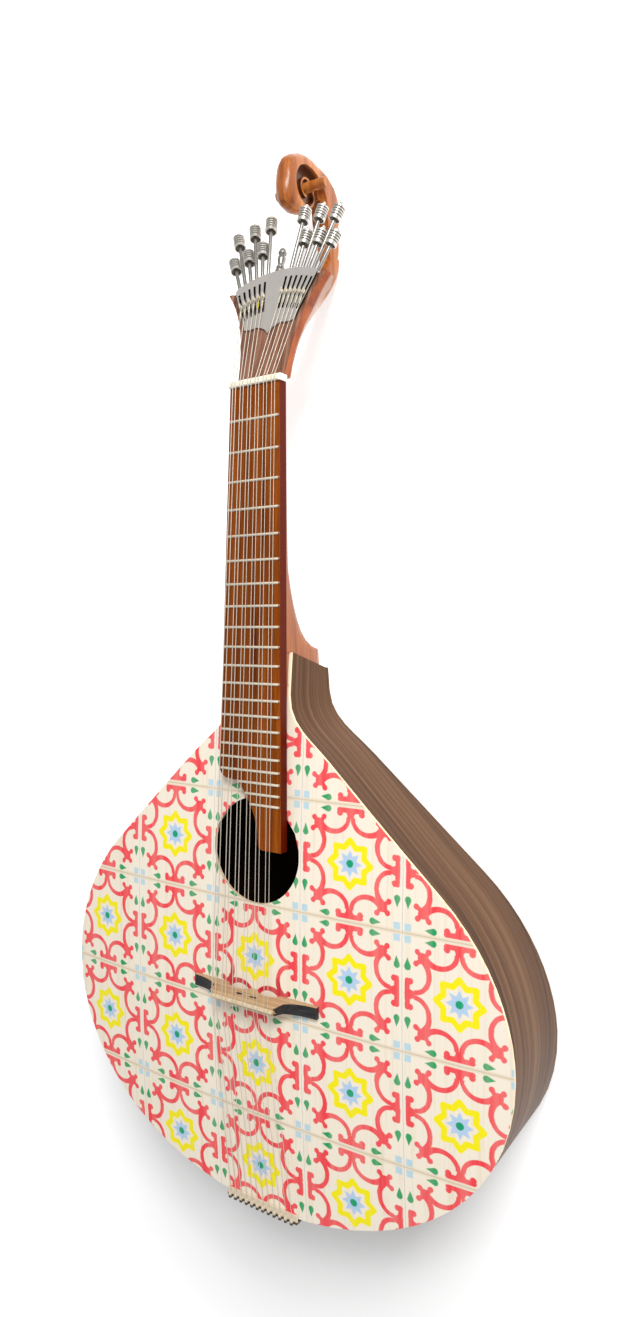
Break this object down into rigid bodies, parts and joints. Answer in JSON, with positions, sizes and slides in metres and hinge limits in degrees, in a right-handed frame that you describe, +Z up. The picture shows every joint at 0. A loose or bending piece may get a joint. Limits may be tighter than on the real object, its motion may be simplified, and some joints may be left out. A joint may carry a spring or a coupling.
{
  "type": "portuguese guitar",
  "caption": "Pear-shaped plucked string instrument with paired steel strings, a fan of tuning screws on a scroll head, and a soundboard in a tile pattern.",
  "frame": {"origin": "centre of the bounding box at its lowest level, where the guitar rests on the tail edge of its back and on its gooseneck", "axes": "+Y runs along the strings from the tail to the head, +X to the treble side, +Z up out of the soundboard"},
  "size_m": [0.4, 0.8186, 0.1346],
  "materials": {
    "tiled_spruce": "satin varnish over a printed tile pattern",
    "walnut": "satin varnish",
    "bare_cedar": "bare wood",
    "neck_cedar": "satin varnish",
    "rosewood": "oiled, with nickel frets",
    "bone": "polished",
    "varnished_maple": "gloss varnish",
    "satin_nickel": "satin",
    "nickel": "polished",
    "steel": "polished wire",
    "bridge_wood": "satin varnish with dark ends",
    "dark_metal": "dark plated"
  },
  "bodies": {
    "frame": {"soundboard": "tiled_spruce", "back": "walnut", "bass_side": "walnut", "treble_side": "walnut", "neck_block": "bare_cedar", "tail_block": "bare_cedar", "top_lining": "bare_cedar", "back_lining": "bare_cedar", "upper_top_brace": "bare_cedar", "lower_top_brace": "bare_cedar", "upper_back_brace": "bare_cedar", "lower_back_brace": "bare_cedar", "neck": "neck_cedar", "fretboard": "rosewood", "nut": "bone", "head": "varnished_maple", "tuner_plate": "satin_nickel", "tuner_frame": "nickel", "finial": "nickel", "bridge": "bridge_wood", "saddle": "bone", "tailpiece": "dark_metal", "tailpiece_screw_1": "nickel", "tailpiece_screw_2": "nickel", "string_1": "steel", "string_2": "steel", "string_3": "steel", "string_4": "steel", "string_5": "steel", "string_6": "steel", "string_7": "steel", "string_8": "steel", "string_9": "steel", "string_10": "steel", "string_11": "steel", "string_12": "steel"},
    "screw_1": {"tuning_screw_1": "nickel"},
    "hook_1": {"string_hook_1": "steel"},
    "screw_2": {"tuning_screw_2": "nickel"},
    "hook_2": {"string_hook_2": "steel"},
    "screw_3": {"tuning_screw_3": "nickel"},
    "hook_3": {"string_hook_3": "steel"},
    "screw_4": {"tuning_screw_4": "nickel"},
    "hook_4": {"string_hook_4": "steel"},
    "screw_5": {"tuning_screw_5": "nickel"},
    "hook_5": {"string_hook_5": "steel"},
    "screw_6": {"tuning_screw_6": "nickel"},
    "hook_6": {"string_hook_6": "steel"},
    "screw_7": {"tuning_screw_7": "nickel"},
    "hook_7": {"string_hook_7": "steel"},
    "screw_8": {"tuning_screw_8": "nickel"},
    "hook_8": {"string_hook_8": "steel"},
    "screw_9": {"tuning_screw_9": "nickel"},
    "hook_9": {"string_hook_9": "steel"},
    "screw_10": {"tuning_screw_10": "nickel"},
    "hook_10": {"string_hook_10": "steel"},
    "screw_11": {"tuning_screw_11": "nickel"},
    "hook_11": {"string_hook_11": "steel"},
    "screw_12": {"tuning_screw_12": "nickel"},
    "hook_12": {"string_hook_12": "steel"}
  },
  "joints": [
    {"name": "screw_1_turn", "type": "hinge", "parent": "frame", "child": "screw_1", "pos_m": [-0.03646, 0.3013, 0.08164], "axis": [-0.3697, 0.8995, -0.2326], "range_deg": [-7925, 7925]},
    {"name": "hook_1_slide", "type": "slide", "parent": "frame", "child": "hook_1", "axis": [-0.3697, 0.8995, -0.2326], "range_m": [-0.011, 0.011], "deforming": ["string_1"]},
    {"name": "screw_2_turn", "type": "hinge", "parent": "frame", "child": "screw_2", "pos_m": [-0.03145, 0.30308, 0.08118], "axis": [-0.319, 0.9176, -0.2373], "range_deg": [-7925, 7925]},
    {"name": "hook_2_slide", "type": "slide", "parent": "frame", "child": "hook_2", "axis": [-0.319, 0.9176, -0.2373], "range_m": [-0.011, 0.011], "deforming": ["string_2"]},
    {"name": "screw_3_turn", "type": "hinge", "parent": "frame", "child": "screw_3", "pos_m": [-0.02635, 0.3046, 0.08078], "axis": [-0.2672, 0.9329, -0.2413], "range_deg": [-7925, 7925]},
    {"name": "hook_3_slide", "type": "slide", "parent": "frame", "child": "hook_3", "axis": [-0.2672, 0.9329, -0.2413], "range_m": [-0.011, 0.011], "deforming": ["string_3"]},
    {"name": "screw_4_turn", "type": "hinge", "parent": "frame", "child": "screw_4", "pos_m": [-0.02117, 0.30584, 0.08046], "axis": [-0.2147, 0.9456, -0.2445], "range_deg": [-7925, 7925]},
    {"name": "hook_4_slide", "type": "slide", "parent": "frame", "child": "hook_4", "axis": [-0.2147, 0.9456, -0.2445], "range_m": [-0.011, 0.011], "deforming": ["string_4"]},
    {"name": "screw_5_turn", "type": "hinge", "parent": "frame", "child": "screw_5", "pos_m": [-0.01593, 0.30681, 0.08021], "axis": [-0.1616, 0.9554, -0.2471], "range_deg": [-7925, 7925]},
    {"name": "hook_5_slide", "type": "slide", "parent": "frame", "child": "hook_5", "axis": [-0.1616, 0.9554, -0.2471], "range_m": [-0.011, 0.011], "deforming": ["string_5"]},
    {"name": "screw_6_turn", "type": "hinge", "parent": "frame", "child": "screw_6", "pos_m": [-0.01065, 0.30751, 0.08003], "axis": [-0.108, 0.9625, -0.2489], "range_deg": [-7925, 7925]},
    {"name": "hook_6_slide", "type": "slide", "parent": "frame", "child": "hook_6", "axis": [-0.108, 0.9625, -0.2489], "range_m": [-0.011, 0.011], "deforming": ["string_6"]},
    {"name": "screw_7_turn", "type": "hinge", "parent": "frame", "child": "screw_7", "pos_m": [0.01065, 0.30751, 0.08003], "axis": [0.108, 0.9625, -0.2489], "range_deg": [-7925, 7925]},
    {"name": "hook_7_slide", "type": "slide", "parent": "frame", "child": "hook_7", "axis": [0.108, 0.9625, -0.2489], "range_m": [-0.011, 0.011], "deforming": ["string_7"]},
    {"name": "screw_8_turn", "type": "hinge", "parent": "frame", "child": "screw_8", "pos_m": [0.01593, 0.30681, 0.08021], "axis": [0.1616, 0.9554, -0.2471], "range_deg": [-7925, 7925]},
    {"name": "hook_8_slide", "type": "slide", "parent": "frame", "child": "hook_8", "axis": [0.1616, 0.9554, -0.2471], "range_m": [-0.011, 0.011], "deforming": ["string_8"]},
    {"name": "screw_9_turn", "type": "hinge", "parent": "frame", "child": "screw_9", "pos_m": [0.02117, 0.30584, 0.08046], "axis": [0.2147, 0.9456, -0.2445], "range_deg": [-7925, 7925]},
    {"name": "hook_9_slide", "type": "slide", "parent": "frame", "child": "hook_9", "axis": [0.2147, 0.9456, -0.2445], "range_m": [-0.011, 0.011], "deforming": ["string_9"]},
    {"name": "screw_10_turn", "type": "hinge", "parent": "frame", "child": "screw_10", "pos_m": [0.02635, 0.3046, 0.08078], "axis": [0.2672, 0.9329, -0.2413], "range_deg": [-7925, 7925]},
    {"name": "hook_10_slide", "type": "slide", "parent": "frame", "child": "hook_10", "axis": [0.2672, 0.9329, -0.2413], "range_m": [-0.011, 0.011], "deforming": ["string_10"]},
    {"name": "screw_11_turn", "type": "hinge", "parent": "frame", "child": "screw_11", "pos_m": [0.03145, 0.30308, 0.08118], "axis": [0.319, 0.9176, -0.2373], "range_deg": [-7925, 7925]},
    {"name": "hook_11_slide", "type": "slide", "parent": "frame", "child": "hook_11", "axis": [0.319, 0.9176, -0.2373], "range_m": [-0.011, 0.011], "deforming": ["string_11"]},
    {"name": "screw_12_turn", "type": "hinge", "parent": "frame", "child": "screw_12", "pos_m": [0.03646, 0.3013, 0.08164], "axis": [0.3697, 0.8995, -0.2326], "range_deg": [-7925, 7925]},
    {"name": "hook_12_slide", "type": "slide", "parent": "frame", "child": "hook_12", "axis": [0.3697, 0.8995, -0.2326], "range_m": [-0.011, 0.011], "deforming": ["string_12"]}
  ],
  "couplings": [
    {"joint": "screw_1_turn", "follows": "hook_1_slide", "rad_per_m": -12566},
    {"joint": "screw_2_turn", "follows": "hook_2_slide", "rad_per_m": -12566},
    {"joint": "screw_3_turn", "follows": "hook_3_slide", "rad_per_m": -12566},
    {"joint": "screw_4_turn", "follows": "hook_4_slide", "rad_per_m": -12566},
    {"joint": "screw_5_turn", "follows": "hook_5_slide", "rad_per_m": -12566},
    {"joint": "screw_6_turn", "follows": "hook_6_slide", "rad_per_m": -12566},
    {"joint": "screw_7_turn", "follows": "hook_7_slide", "rad_per_m": -12566},
    {"joint": "screw_8_turn", "follows": "hook_8_slide", "rad_per_m": -12566},
    {"joint": "screw_9_turn", "follows": "hook_9_slide", "rad_per_m": -12566},
    {"joint": "screw_10_turn", "follows": "hook_10_slide", "rad_per_m": -12566},
    {"joint": "screw_11_turn", "follows": "hook_11_slide", "rad_per_m": -12566},
    {"joint": "screw_12_turn", "follows": "hook_12_slide", "rad_per_m": -12566}
  ]
}
